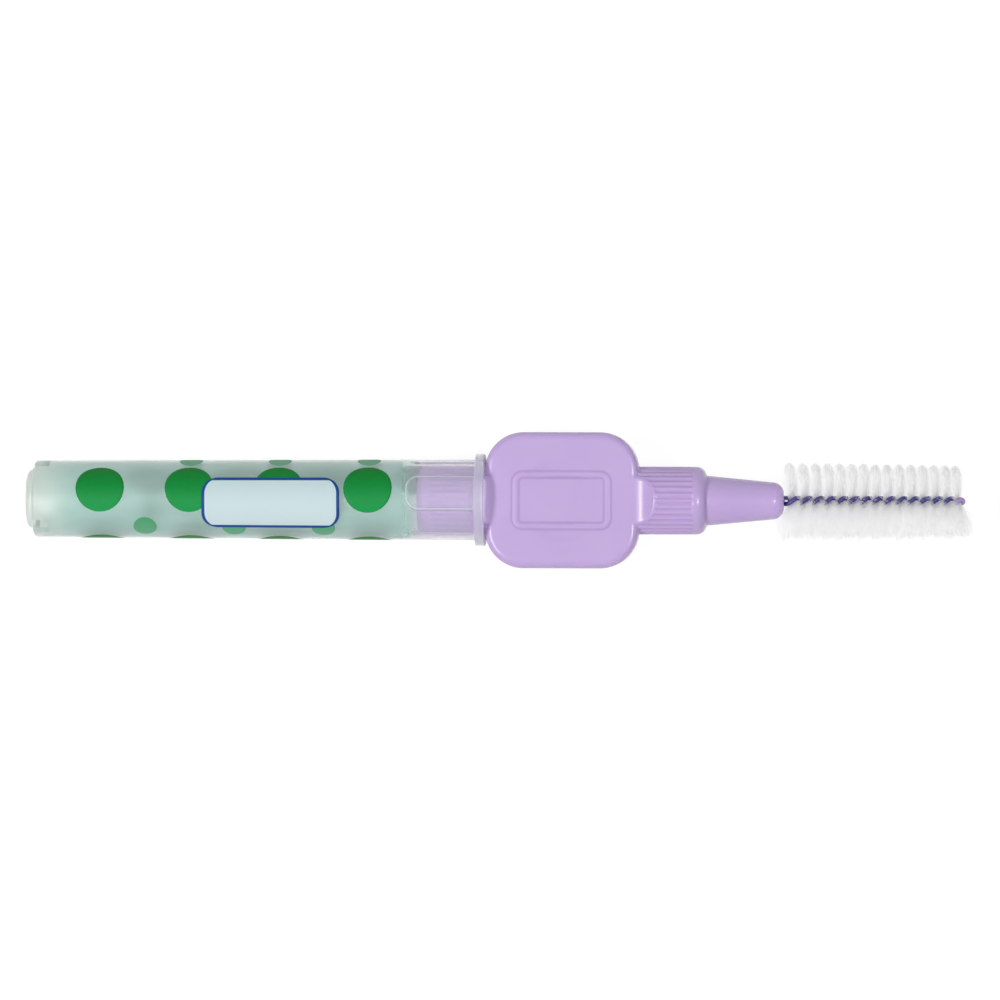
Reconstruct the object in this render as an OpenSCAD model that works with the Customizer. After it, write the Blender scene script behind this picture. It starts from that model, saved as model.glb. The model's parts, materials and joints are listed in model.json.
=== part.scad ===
// Interdental brush with its cap pushed on the rear of the handle, where it lengthens the grip.
// All lengths are in millimetres. The brush lies on a table: +X runs from the closed end of the cap
// to the tip of the wire, +Z points up, and +Y points across the pad. The origin is on the table,
// under the middle of the whole length.

/* [Grip pad] */
// Length of the pad along the brush
pad_len = 15.8; // [14.5:0.1:20]
// Width of the pad
pad_w = 14; // [12.5:0.1:18]
// Thickness of the pad
pad_t = 5.2; // [4.6:0.1:6]
// Radius of the pad's four corners, seen from above
pad_corner_r = 4; // [3:0.1:5]
// Radius of the rounding along the pad's rim
pad_edge_r = 0.6; // [0.3:0.05:1]
// Diameter of the shallow thumb dish in each face
dish_d = 8.8; // [6:0.1:10]
// Depth of the thumb dish
dish_depth = 0.12; // [0.06:0.01:0.25]
// Length of the raised frame round the blank panel
frame_len = 10.2; // [8:0.1:11]
// Width of the raised frame
frame_w = 6; // [4.5:0.1:8]
// Outer corner radius of the raised frame
frame_corner_r = 1.1; // [0.8:0.05:2]
// Width of the frame's ridge
frame_ridge_w = 0.5; // [0.3:0.05:0.7]
// Height of the ridge above the pad's face
frame_ridge_h = 0.1; // [0.05:0.01:0.2]
// How far inside the pad's end each ramp starts
ramp_inset = 0.65; // [0.5:0.05:1.6]
// Hollow radius of the ramp that climbs from the pad's face to the barrel
ramp_r = 3.2; // [2.5:0.1:5]

/* [Ribbed barrels] */
// Diameter of both barrels over the ribs
barrel_d = 7; // [6.6:0.05:7.6]
// Length of the front barrel beyond the pad
front_barrel_len = 6.95; // [6:0.05:9]
// Length of the rear barrel, which holds the cap
rear_barrel_len = 7; // [6:0.1:9]
// Rounding of each barrel's end
barrel_end_r = 1.25; // [0.6:0.05:1.3]
// Number of ribs round a barrel
rib_count = 34; // [26:1:40]
// Width of a rib at its foot
rib_w = 0.4; // [0.25:0.01:0.45]
// Height of a rib
rib_h = 0.1; // [0.06:0.01:0.15]
// Distance from the ramp's edge to the start of the ribs
rib_setback = 0.3; // [0.2:0.05:1]
// Gap between the ribs and the smooth band
rib_end_gap = 0.12; // [0.06:0.01:0.3]
// Length of the smooth band at the front barrel's end
front_band = 1.4; // [1.35:0.05:3.2]
// Length of the smooth band at the rear barrel's end
rear_band = 1.45; // [1.35:0.05:2]

/* [Neck] */
// Length of the neck beyond the front barrel
neck_len = 7.95; // [6.5:0.05:10]
// Diameter of the neck at the barrel
neck_root_d = 5.15; // [4.4:0.05:5.4]
// Diameter of the neck where its tip starts to round
neck_tip_d = 3.85; // [3.5:0.05:4.2]
// Rounding of the neck's tip
neck_tip_r = 1.2; // [0.5:0.05:1.2]

/* [Twisted wire] */
// Diameter of the bare steel wire
wire_d = 0.33; // [0.28:0.01:0.38]
// Thickness of the plastic coating on the wire
coat_t = 0.08; // [0.05:0.01:0.1]
// Gap between the two strands, where the filaments are pinched
strand_gap = 0.12; // [0.11:0.01:0.16]
// Length along the wire in which the strands make one whole turn
twist_lead = 2.43; // [2.2:0.01:2.8]
// Length of the wire outside the neck
wire_out_len = 18.7; // [14:0.1:19.5]
// Length of the wire moulded into the neck
wire_in_len = 5; // [3.5:0.1:6]
// Clearance round the wire in the neck
wire_clear = 0.03; // [0.02:0.01:0.08]
// Clearance between the steel wire and its coating
core_clear = 0.005; // [0.003:0.001:0.01]

/* [Bristles] */
// Diameter of the bristle head next to the neck
head_root_d = 7.8; // [6.5:0.1:9]
// Diameter of the bristle head at the tip
head_tip_d = 7.4; // [5:0.1:9]
// Number of filaments that pass between the strands, each one showing at both sides
filament_count = 190; // [150:1:250]
// Width of a filament at its end
filament_w = 0.07; // [0.04:0.005:0.08]
// Thickness of the packed filaments between the strands
bed_t = 0.05; // [0.03:0.01:0.05]
// Distance from the neck to the first filament
head_start = 0.25; // [0.2:0.05:1]
// Distance from the last filament to the inside of the wire's end bend
head_end = 0.04; // [0.03:0.01:1]
// Distance from the neck to where filaments first point straight across the pad
first_tuft = 0.83; // [0.6:0.01:1.2]
// How far the outermost filaments lean out at the head's two ends
end_lean = 1.1; // [0:0.1:1.4]

/* [Cap] */
// Length of the cap
cap_len = 47.3; // [40:0.1:60]
// Wall thickness of the cap
cap_wall = 0.62; // [0.5:0.01:0.8]
// Radial clearance between the cap's mouth and the barrel
cap_clear = 0.05; // [0.03:0.01:0.1]
// How much narrower the cap is at its closed end
cap_taper = 0.42; // [0.1:0.01:0.6]
// Thickness of the cap's closed end
cap_floor = 1; // [0.9:0.05:1.6]
// How far the flange stands out from the cap's wall
flange_h = 0.58; // [0.3:0.01:1]
// Width of the flange along the cap
flange_w = 1.2; // [0.8:0.05:2]
// Rounding of the flange's two outer edges
flange_r = 0.15; // [0.08:0.01:0.25]
// Gap between the cap's mouth and the pad
mouth_gap = 0.05; // [0.03:0.01:0.3]
// How far the rounded boss in the closed end stands out
boss_h = 0.7; // [0.4:0.05:0.75]
// How far the boss's rim lies inside the cap's outer wall
boss_inset = 0.87; // [0.8:0.01:1]
// Rounding of the cap's outer corner beside the boss
shoulder_r = 0.5; // [0.3:0.05:0.6]
// Number of vents round the boss
vent_count = 3; // [2:1:4]
// Angle that each vent spans
vent_angle = 28; // [20:1:40]
// Angle of the first vent from the top
vent_turn = 72; // [0:1:119]
// Length of a vent from the closed end
vent_len = 2.4; // [1.8:0.1:3]
// Number of relief pockets inside the mouth
pocket_count = 4; // [3:1:4]
// Width of a pocket
pocket_w = 3.6; // [2.8:0.1:4]
// How far the straight bore inside the mouth reaches past the barrel's end
socket_past = 0.5; // [0.3:0.05:1]
// How far a pocket reaches past the end of the straight bore
pocket_past = 0.8; // [0.3:0.05:1.5]
// Depth of a pocket
pocket_depth = 0.2; // [0.1:0.01:0.25]
// Radius of a pocket's two inner corners
pocket_corner_r = 1.3; // [0.6:0.05:1.4]
// Angle of the first pocket from the top
pocket_turn = 12.6; // [0:0.1:89]

/* [Hidden] */

// Smoothness of true circles, and the number of steps in a rounding of a quarter turn
$fn = 96;
round_steps = 8;

// Overrun of a cut past the face that it opens, and depth of a piece sunk into the one it grows from
overrun = 0.5;
sink = 0.02;

// Places along the handle, counted from the middle of the pad
pad_end = pad_len / 2;
ramp_x = pad_end - ramp_inset;
ramp_z = pad_t / 2 - sink + ramp_r;
barrel_r = barrel_d / 2;
rib_r = (pow(rib_w / 2, 2) + pow(rib_h, 2)) / (2 * rib_h);
front_end = pad_end + front_barrel_len;
rear_end = pad_end + rear_barrel_len;
neck_end = front_end + neck_len;

// The wire: two strands of one hairpin, twisted round each other with a left-hand lay
strand_d = wire_d + 2 * coat_t;
helix_r = (strand_d + strand_gap) / 2;
wire_env_r = helix_r + strand_d / 2;
wire_start = neck_end - wire_in_len;
twist_start = wire_start + strand_d;
first_flat = neck_end + first_tuft;
wire_tip = neck_end + wire_out_len;
bend_x = wire_tip - strand_d / 2 - helix_r;
strand_sides = 6;
rings_per_turn = 8;
bend_steps = 5;
strand_steps = ceil((bend_x - twist_start) / twist_lead * rings_per_turn);

// A ring stands a little further out than the helix, because the straight piece after it cuts the corner
ring_path_r = helix_r * 2 / (1 + cos(180 / rings_per_turn));

// The bristle head: the packed bed lies where the strands are closest, and the filaments fan out from it
bed_reach = strand_d / 2 - bed_t;
bed_start = neck_end + head_start;
bed_end = wire_tip - strand_d - head_end;
bed_mid = (bed_start + bed_end) / 2;
bed_half = (bed_end - bed_start) / 2;
filament_pitch = (bed_end - bed_start) / filament_count;

// The cap, counted from its closed end towards its mouth
socket_r = barrel_r + cap_clear;
mouth_r = socket_r + cap_wall;
end_r = mouth_r - cap_taper / 2;
bore_end_r = end_r - cap_wall;
boss_r = end_r - boss_inset;
flange_rim_r = mouth_r + flange_h;
socket_len = rear_barrel_len + socket_past;
pocket_len = socket_len + pocket_past;
cap_mouth_x = -pad_end - mouth_gap;
cap_end_x = cap_mouth_x - cap_len;

// The whole length, from the cap's closed end to the filament that reaches furthest
head_reach = tip_x(filament_count - 1) + filament_w / 2;
mid_x = (cap_end_x + max(head_reach, wire_tip)) / 2;
axis_z = flange_rim_r;

// Points of an arc in a plane
function arc(cx, cy, r, from, to, steps = round_steps) =
    [for (i = [0:steps])
        let (a = from + (to - from) * i / steps)
        [cx + r * cos(a), cy + r * sin(a)]];

// Outline of a rectangle with round corners, centred on the origin
function round_rect(l, w, r) = concat(
    arc(l / 2 - r, w / 2 - r, r, 0, 90),
    arc(r - l / 2, w / 2 - r, r, 90, 180),
    arc(r - l / 2, r - w / 2, r, 180, 270),
    arc(l / 2 - r, r - w / 2, r, 270, 360)
);

// Where the ramp's hollow surface stands at height z above the axis
function ramp_edge_x(z) = ramp_x + sqrt(pow(ramp_r, 2) - pow(ramp_z - z, 2));

// Ribs that meet a ramp start a little beyond it, and the others start inside the pad
function rib_start(angle) =
    let (z = barrel_r * abs(cos(angle)))
    z > pad_t / 2 - sink ? ramp_edge_x(z) + rib_setback : ramp_x;

// Angle of the first strand round the axis at a place along it: 0 is on top, 90 towards +Y
function strand_turn(x) = 360 * (max(x, twist_start) - first_flat) / twist_lead;
function strand_dir(x) = [0, sin(strand_turn(x)), cos(strand_turn(x))];
function filament_dir(x) = [0, cos(strand_turn(x)), -sin(strand_turn(x))];
function unit(v) = v / norm(v);

// The hairpin's stations as [place along the axis, angle round the end bend]
hairpin = concat(
    [[wire_start, 0]],
    [for (i = [0:strand_steps]) [twist_start + (bend_x - twist_start) * i / strand_steps, 0]],
    [for (i = [1:bend_steps - 1]) [bend_x + helix_r * sin(180 * i / bend_steps), 180 * i / bend_steps]],
    [for (i = [strand_steps:-1:0]) [twist_start + (bend_x - twist_start) * i / strand_steps, 180]],
    [[wire_start, 180]]
);
// The tube doesn't turn in its own skin: each ring of a strand is rolled back by what the helix turns it
ring_roll = (bend_x - twist_start) / strand_steps * 360
    / sqrt(pow(2 * PI * helix_r, 2) + pow(twist_lead, 2));
function roll_count(i) = i <= strand_steps + 1 ? i : max(strand_steps + 1, i - bend_steps);
hairpin_path = [for (s = hairpin) [s[0], 0, 0] + ring_path_r * cos(s[1]) * strand_dir(s[0])];
last_ring = len(hairpin) - 1;

// One ring of corners round the hairpin
function ring(i, r) =
    let (
        along = unit(hairpin_path[min(i + 1, last_ring)] - hairpin_path[max(i - 1, 0)]),
        out = cos(hairpin[i][1]) * strand_dir(hairpin[i][0]) + sin(hairpin[i][1]) * [1, 0, 0],
        side = unit(cross(along, out)),
        up = cross(side, along)
    )
    [for (j = [0:strand_sides - 1])
        let (a = 360 * j / strand_sides + ring_roll * roll_count(i))
        hairpin_path[i] + r * (cos(a) * up + sin(a) * side)];

// The two triangles of a four-cornered face, and the walls between rings that start at corner number first
function two_triangles(a, b, c, d) = [[a, b, c], [a, c, d]];
function tube_walls(first) = [
    for (i = [0:last_ring - 1], j = [0:strand_sides - 1])
        let (
            a = first + i * strand_sides + j,
            b = first + i * strand_sides + (j + 1) % strand_sides
        )
        each two_triangles(a, a + strand_sides, b + strand_sides, b)
];
function turned(faces) = [for (f = faces) [f[2], f[1], f[0]]];

// Where filament k starts and ends along the axis: the outer ones lean out past the bed
function filament_x(k) = bed_start + filament_pitch * (k + 0.5);
function tip_x(k) = filament_x(k) + end_lean * pow((filament_x(k) - bed_mid) / bed_half, 3);
function tip_r(x) = (head_root_d + (head_tip_d - head_root_d) * (x - bed_start) / (bed_end - bed_start)) / 2;

// Corners of the bed's cross-section number k, and the two end points of each filament beside it
function bed_corners(k) =
    let (
        x = bed_start + filament_pitch * k,
        reach = bed_reach * filament_dir(x),
        rise = bed_t / 2 * strand_dir(x),
        at = [x, 0, 0]
    )
    [at + reach + rise, at + reach - rise, at - reach - rise, at - reach + rise];
function filament_tips(k) = [
    for (side = [1, -1], half = [-0.5, 0.5])
        [tip_x(k) + half * filament_w, 0, 0] + side * tip_r(filament_x(k)) * filament_dir(filament_x(k))
];

// Rounded rim of the pad as a cross-section, from the middle of a corner outwards
module pad_rim() {
    mid_r = pad_corner_r - pad_edge_r;
    mid_t = pad_t / 2 - pad_edge_r;
    polygon(concat(
        [[0, -pad_t / 2]],
        arc(mid_r, -mid_t, pad_edge_r, -90, 0),
        arc(mid_r, mid_t, pad_edge_r, 0, 90),
        [[0, pad_t / 2]]
    ));
}

// Flat pad with round corners and a rounded rim
module pad() {
    straight_l = pad_len - 2 * pad_corner_r;
    straight_w = pad_w - 2 * pad_corner_r;
    cube([straight_l, straight_w, pad_t], center = true);
    for (side = [0, 1]) {
        mirror([0, side, 0])
            translate([0, straight_w / 2, 0])
                rotate([90, 0, 90])
                    linear_extrude(straight_l, center = true) pad_rim();
        mirror([side, 0, 0])
            translate([straight_l / 2, 0, 0])
                rotate([90, 0, 0])
                    linear_extrude(straight_w, center = true) pad_rim();
        for (end = [0, 1])
            mirror([end, 0, 0])
                mirror([0, side, 0])
                    translate([straight_l / 2, straight_w / 2, 0])
                        rotate_extrude(angle = 90) pad_rim();
    }
}

// Barrel on the front of the pad: ribbed core, smooth band and rounded end, hollowed by the ramps
module barrel(end_x, band) {
    core_r = barrel_r - rib_h;
    band_x = end_x - band;
    difference() {
        rotate([0, 90, 0])
            rotate_extrude()
                polygon(concat(
                    [[0, ramp_x], [core_r, ramp_x], [core_r, band_x], [barrel_r, band_x]],
                    arc(barrel_r - barrel_end_r, end_x - barrel_end_r, barrel_end_r, 0, 90),
                    [[0, end_x]]
                ));
        for (side = [0, 1])
            mirror([0, 0, side])
                translate([ramp_x, 0, ramp_z])
                    rotate([90, 0, 0])
                        cylinder(r = ramp_r, h = barrel_d + overrun, center = true);
    }
    for (i = [0:rib_count - 1]) {
        angle = 360 * i / rib_count;
        rotate([angle, 0, 0])
            translate([rib_start(angle), 0, barrel_r - rib_r])
                rotate([0, 90, 0])
                    cylinder(r = rib_r, h = band_x - rib_end_gap - rib_start(angle));
    }
}

// Tapered neck with a rounded tip
module neck() {
    root_x = front_end - barrel_end_r;
    round_x = neck_end - neck_tip_r;
    root_r = neck_tip_d / 2 + (neck_root_d - neck_tip_d) / 2 * (round_x - root_x) / (round_x - front_end);
    rotate([0, 90, 0])
        rotate_extrude()
            polygon(concat(
                [[0, root_x], [root_r, root_x]],
                arc(neck_tip_d / 2 - neck_tip_r, round_x, neck_tip_r, 0, 90),
                [[0, neck_end]]
            ));
}

// Shallow round dish in the pad's upper face
module dish() {
    sphere_r = (pow(dish_d / 2, 2) + pow(dish_depth, 2)) / (2 * dish_depth);
    translate([0, 0, pad_t / 2 - dish_depth + sphere_r])
        sphere(r = sphere_r);
}

// Raised frame round the blank panel on the pad's upper face
module panel_frame() {
    base_z = pad_t / 2 - dish_depth - sink;
    translate([0, 0, base_z])
        linear_extrude(pad_t / 2 + frame_ridge_h - base_z)
            difference() {
                polygon(round_rect(frame_len, frame_w, frame_corner_r));
                polygon(round_rect(
                    frame_len - 2 * frame_ridge_w,
                    frame_w - 2 * frame_ridge_w,
                    frame_corner_r - frame_ridge_w
                ));
            }
}

// The whole handle is one moulding
module handle() {
    color([0.78, 0.69, 0.88])
        to_table()
            difference() {
                union() {
                    difference() {
                        union() {
                            pad();
                            barrel(front_end, front_band);
                            mirror([1, 0, 0]) barrel(rear_end, rear_band);
                            neck();
                        }
                        dish();
                        mirror([0, 0, 1]) dish();
                    }
                    panel_frame();
                    mirror([0, 0, 1]) panel_frame();
                }
                translate([wire_start, 0, 0])
                    rotate([0, 90, 0])
                        cylinder(r = wire_env_r + wire_clear, h = wire_in_len + overrun);
            }
}

// Bare steel hairpin inside the coating
module steel_wire() {
    last = last_ring * strand_sides;
    color([0.75, 0.76, 0.78])
        to_table()
            polyhedron(
                points = [for (i = [0:last_ring]) each ring(i, wire_d / 2 - core_clear)],
                faces = concat(
                    [for (j = [1:strand_sides - 2]) [0, j, j + 1]],
                    tube_walls(0),
                    [for (j = [1:strand_sides - 2]) [last, last + j + 1, last + j]]
                )
            );
}

// Plastic sheath on the hairpin, open at the two ends that the neck holds
module wire_coating() {
    inner = (last_ring + 1) * strand_sides;
    last = last_ring * strand_sides;
    rim = [for (j = [0:strand_sides - 1]) [j, (j + 1) % strand_sides]];
    color([0.33, 0.22, 0.58])
        to_table()
            polyhedron(
                points = concat(
                    [for (i = [0:last_ring]) each ring(i, strand_d / 2)],
                    [for (i = [0:last_ring]) each ring(i, wire_d / 2)]
                ),
                faces = concat(
                    tube_walls(0),
                    turned(tube_walls(inner)),
                    [for (e = rim) each two_triangles(e[0], e[1], inner + e[1], inner + e[0])],
                    [for (e = rim) each two_triangles(
                        last + e[1], last + e[0], inner + last + e[0], inner + last + e[1]
                    )]
                )
            );
}

// Nylon filaments, packed side by side between the strands and fanned out round the wire by the twist
module bristles() {
    sections = [for (k = [0:filament_count]) each bed_corners(k)];
    tips = [for (k = [0:filament_count - 1]) each filament_tips(k)];
    first_tip = len(sections);
    last = 4 * filament_count;
    color([0.97, 0.97, 0.97])
        to_table()
            polyhedron(
                points = concat(sections, tips),
                faces = concat(
                    two_triangles(3, 2, 1, 0),
                    [for (k = [0:filament_count - 1])
                        each filament_faces(4 * k, 4 * (k + 1), first_tip + 4 * k)],
                    two_triangles(last, last + 1, last + 2, last + 3)
                )
            );
}

// Faces between bed section a and the next one b, with the filament on each side ending at corners from t
function filament_faces(a, b, t) = concat(
    two_triangles(a + 3, a, b, b + 3),
    two_triangles(a + 2, b + 2, b + 1, a + 1),
    [[a, a + 1, t], [b + 1, b, t + 1]],
    two_triangles(a, t, t + 1, b),
    two_triangles(a + 1, b + 1, t + 1, t),
    [[a + 2, a + 3, t + 2], [b + 3, b + 2, t + 3]],
    two_triangles(a + 2, t + 2, t + 3, b + 2),
    two_triangles(a + 3, b + 3, t + 3, t + 2)
);

// Cap without its vents and pockets, turned round its axis, with the closed end at the start
module cap_shell() {
    shoulder_x = boss_h + shoulder_r;
    flange_x = cap_len - flange_w;
    rotate([0, 90, 0])
        rotate_extrude()
            polygon(concat(
                [[0, 0]],
                arc(boss_r - boss_h, boss_h, boss_h, -90, 0),
                arc(end_r - shoulder_r, shoulder_x, shoulder_r, -90, 0),
                [[mouth_r, flange_x]],
                arc(flange_rim_r - flange_r, flange_x + flange_r, flange_r, -90, 0),
                arc(flange_rim_r - flange_r, cap_len - flange_r, flange_r, 0, 90),
                [
                    [socket_r, cap_len],
                    [socket_r, cap_len - socket_len],
                    [bore_end_r, cap_floor],
                    [0, cap_floor]
                ]
            ));
}

// Wedge that opens the corner beside the boss, so that air reaches the inside
module vent() {
    reach = 2 * mouth_r;
    difference() {
        translate([-overrun, 0, 0])
            rotate([90, 0, 90])
                linear_extrude(vent_len + overrun)
                    polygon([
                        [0, 0],
                        [-reach * sin(vent_angle / 2), reach * cos(vent_angle / 2)],
                        [reach * sin(vent_angle / 2), reach * cos(vent_angle / 2)]
                    ]);
        translate([-2 * overrun, 0, 0])
            rotate([0, 90, 0])
                cylinder(r = boss_r + sink, h = vent_len + 4 * overrun);
    }
}

// Shallow recess in the mouth's inner wall, with two round corners at its blind end
module pocket() {
    blind_x = cap_len - pocket_len;
    open_x = cap_len + overrun;
    round_y = pocket_w / 2 - pocket_corner_r;
    difference() {
        linear_extrude(2 * mouth_r)
            polygon(concat(
                [[open_x, -pocket_w / 2]],
                [[open_x, pocket_w / 2]],
                arc(blind_x + pocket_corner_r, round_y, pocket_corner_r, 90, 180),
                arc(blind_x + pocket_corner_r, -round_y, pocket_corner_r, 180, 270)
            ));
        translate([blind_x - overrun, 0, 0])
            rotate([0, 90, 0])
                difference() {
                    cylinder(r = 3 * mouth_r, h = pocket_len + 3 * overrun);
                    translate([0, 0, -overrun])
                        cylinder(r = socket_r + pocket_depth, h = pocket_len + 5 * overrun);
                }
    }
}

// Push-on cap, with its mouth against the pad
module cap() {
    color([0.8, 0.86, 0.84, 0.6])
        to_table()
            translate([cap_end_x, 0, 0])
                difference() {
                    cap_shell();
                    for (i = [0:vent_count - 1])
                        rotate([-vent_turn - 360 * i / vent_count, 0, 0]) vent();
                    for (i = [0:pocket_count - 1])
                        rotate([-pocket_turn - 360 * i / pocket_count, 0, 0]) pocket();
                }
}

// Moves a piece from the handle's axis to where the brush lies on the table
module to_table() {
    translate([-mid_x, 0, axis_z]) children();
}

echo(triangles = [
    2 * (strand_sides - 2) + 2 * last_ring * strand_sides,
    4 * (last_ring + 1) * strand_sides,
    16 * filament_count + 4
]);
echo(length = max(head_reach, wire_tip) - cap_end_x, mid_x = mid_x, axis_z = axis_z);

handle();
steel_wire();
wire_coating();
bristles();
cap();
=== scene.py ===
# %% [markdown]
# # An interdental brush
# A lilac moulded handle with a flat grip pad carries a tiny brush: a coated steel wire, twisted into a
# screw, with nylon filaments pinched between its two strands. A milky printed cap is pushed on the rear
# end, where it makes the handle longer. The CAD model already holds the solid shapes and the joint of the
# cap, so this lesson adds what CAD leaves out: soft edges, thousands of filaments, ink on plastic, and
# the finish of each material.

# %% Load the CAD frame
import json
import math

import bmesh
import bpy
import numpy as np
from mathutils import Matrix, Vector


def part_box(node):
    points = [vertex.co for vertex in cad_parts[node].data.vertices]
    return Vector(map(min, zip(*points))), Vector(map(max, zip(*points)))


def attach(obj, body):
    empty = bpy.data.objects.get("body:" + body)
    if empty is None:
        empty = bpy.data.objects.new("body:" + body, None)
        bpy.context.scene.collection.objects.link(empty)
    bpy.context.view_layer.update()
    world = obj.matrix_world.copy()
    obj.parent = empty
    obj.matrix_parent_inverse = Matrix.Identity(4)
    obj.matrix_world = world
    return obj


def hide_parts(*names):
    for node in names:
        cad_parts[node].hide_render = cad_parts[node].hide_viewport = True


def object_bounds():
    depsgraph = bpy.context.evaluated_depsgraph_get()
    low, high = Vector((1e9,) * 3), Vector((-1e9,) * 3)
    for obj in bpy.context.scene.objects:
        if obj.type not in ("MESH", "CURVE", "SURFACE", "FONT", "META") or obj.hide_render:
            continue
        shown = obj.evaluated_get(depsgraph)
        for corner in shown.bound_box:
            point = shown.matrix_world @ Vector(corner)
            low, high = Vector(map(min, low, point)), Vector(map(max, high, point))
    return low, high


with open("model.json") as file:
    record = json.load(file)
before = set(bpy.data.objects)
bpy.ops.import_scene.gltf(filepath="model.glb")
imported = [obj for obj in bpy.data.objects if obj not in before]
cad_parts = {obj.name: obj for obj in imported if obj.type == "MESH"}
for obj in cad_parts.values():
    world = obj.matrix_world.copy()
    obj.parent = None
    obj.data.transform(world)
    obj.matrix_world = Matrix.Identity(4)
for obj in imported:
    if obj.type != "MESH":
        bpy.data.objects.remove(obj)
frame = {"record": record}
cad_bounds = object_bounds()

MM = 0.001
scene = bpy.context.scene
print("CAD box in mm:", [[round(v / MM, 2) for v in corner] for corner in cad_bounds])

# %% [markdown]
# ## Places taken from the frame
# What the frame knows isn't typed again. The cap's box gives the axis that everything turns round, the
# boxes of the handle and the coating give their ends, and one face of the record gives the middle of the
# pad.

# %% Places along the brush
cap_low, cap_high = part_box("cap")
handle_low, handle_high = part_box("handle")
coat_low, coat_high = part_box("wire_coating")

axis_z = (cap_low.z + cap_high.z) / 2
flange_r = (cap_high.z - cap_low.z) / 2
pad_face = next(m for m in frame["record"]["mounts"] if m["name"] == "pad_upper_face")
pad_x = pad_face["pos_m"][0]
neck_end = handle_high.x
rear_end = handle_low.x
wire_start = coat_low.x
wire_tip = coat_high.x
for label, distance in (("pad middle", pad_x), ("neck end", neck_end), ("axis height", axis_z)):
    print(label, round(distance / MM, 2), "mm")

# %% [markdown]
# ## Two helpers for node trees
# Node maths is easier to read as arithmetic. One small class wraps a socket, so that `1 - mask * 2` makes
# the Math nodes by itself. Every other node comes from one method, which takes the node's type, its
# settings and what goes into its sockets. Short methods on top of it name what this lesson needs often. All
# of them serve materials and Geometry Nodes alike.

# %% A socket that does arithmetic
def maths(operation, reflected=False):
    """A method that adds one Math node to its value's tree."""
    def method(value, *others):
        terms = (*others, value) if reflected else (value, *others)
        return value.tree.node("ShaderNodeMath", {"operation": operation}, terms)
    return method


class Value:
    """One output socket, with Python's operators making Math nodes."""

    def __init__(self, tree, socket):
        self.tree = tree
        self.socket = socket

    def __neg__(self):
        return self * -1

    __add__ = maths("ADD")
    __radd__ = maths("ADD", reflected=True)
    __sub__ = maths("SUBTRACT")
    __rsub__ = maths("SUBTRACT", reflected=True)
    __mul__ = maths("MULTIPLY")
    __rmul__ = maths("MULTIPLY", reflected=True)
    __truediv__ = maths("DIVIDE")
    __rtruediv__ = maths("DIVIDE", reflected=True)
    __pow__ = maths("POWER")
    __mod__ = maths("FLOORED_MODULO")
    __lt__ = maths("LESS_THAN")
    __gt__ = maths("GREATER_THAN")
    low = maths("MINIMUM")
    high = maths("MAXIMUM")
    abs = maths("ABSOLUTE")
    sin = maths("SINE")
    cos = maths("COSINE")
    sqrt = maths("SQRT")
    floor = maths("FLOOR")
    angle_to = maths("ARCTAN2")
    soft_low = maths("SMOOTH_MIN")
    soft_high = maths("SMOOTH_MAX")


class Tree:
    """A node tree, the method that fills it, and short names for what comes back often."""

    gap = 60        # between two nodes in the editor

    def __init__(self, group):
        self.group = group

    def plug(self, socket, value):
        """Links a value to a socket, or sets the socket's own value."""
        if isinstance(value, Value):
            self.group.links.new(value.socket, socket)
        elif isinstance(value, bpy.types.NodeSocket):
            self.group.links.new(value, socket)
        else:
            socket.default_value = value

    def node(self, kind, settings=None, values=(), out=0):
        """Adds a node, sets it, fills its sockets and gives back one of its outputs."""
        made = self.group.nodes.new(kind)
        made.location = (self.gap * len(self.group.nodes), 0)
        for name, setting in (settings or {}).items():
            setattr(made, name, setting)
        pairs = values.items() if isinstance(values, dict) else enumerate(values)
        for name, value in pairs:
            self.plug(made.inputs[name], value)
        return Value(self, made.outputs[out]) if len(made.outputs) else made

    def parts(self, vector):
        """The x, y and z of a vector."""
        split = self.node("ShaderNodeSeparateXYZ", {}, (vector,))
        return [Value(self, output) for output in split.socket.node.outputs]

    def place(self):
        """Where a point lies on its own piece: Object coordinates."""
        return self.node("ShaderNodeTexCoord", {}, {}, out=3)

    def noise(self, place, scale, detail):
        """Soft noise round 0.5, with so many waves in a metre."""
        return self.node("ShaderNodeTexNoise", {}, {"Vector": place, "Scale": scale, "Detail": detail})

    def stored(self, name):
        """A number that the mesh carries at each of its points."""
        return self.node("ShaderNodeAttribute", {"attribute_name": name}, {}, out=2)

    def blend(self, share, color, other):
        """A colour that turns into another one as share goes from 0 to 1."""
        return self.node("ShaderNodeMix", {"data_type": "RGBA"}, {0: share, 6: color, 7: other}, out=2)


print("helpers ready")

# %% [markdown]
# ## The photographer's table
# The brush lies on a white table and the camera hangs almost straight above it, leaning 3 degrees towards
# the bristles. A long lens from far away keeps the barrels' edges parallel. A long strip lamp on the left
# draws the bright lines on the ramp and on the pad's rim, and a small lamp on the right opens the shade.
# The table looks white to the camera through the Light Path node, while its real colour still bounces
# ordinary light and keeps a soft shadow. The sky is white to the camera in the same way, but it lights
# the brush only faintly.

# %% Camera
photo_px = 1000
px_size = 0.103 * MM
camera_distance = 855 * MM
camera_lean = math.radians(3)
camera_roll = math.radians(0.17)
left_of_pad, above_axis = 62.5 * px_size, 1.4 * px_size
photo_middle = Vector((pad_x - left_of_pad, above_axis, axis_z))

camera_data = bpy.data.cameras.new("photo_camera")
camera_data.sensor_width = 36
camera_data.lens = camera_data.sensor_width * camera_distance / (photo_px * px_size)
camera_data.clip_end = 10
camera = bpy.data.objects.new("photo_camera", camera_data)
scene.collection.objects.link(camera)
camera.rotation_euler = (0, camera_lean, camera_roll)
camera.location = photo_middle + camera_distance * Vector((math.sin(camera_lean), 0, math.cos(camera_lean)))
scene.camera = camera
scene.view_settings.view_transform = "Standard"
print("lens", round(camera_data.lens, 1), "mm")


# %% Lamps
lamp_distance = 750 * MM


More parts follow.
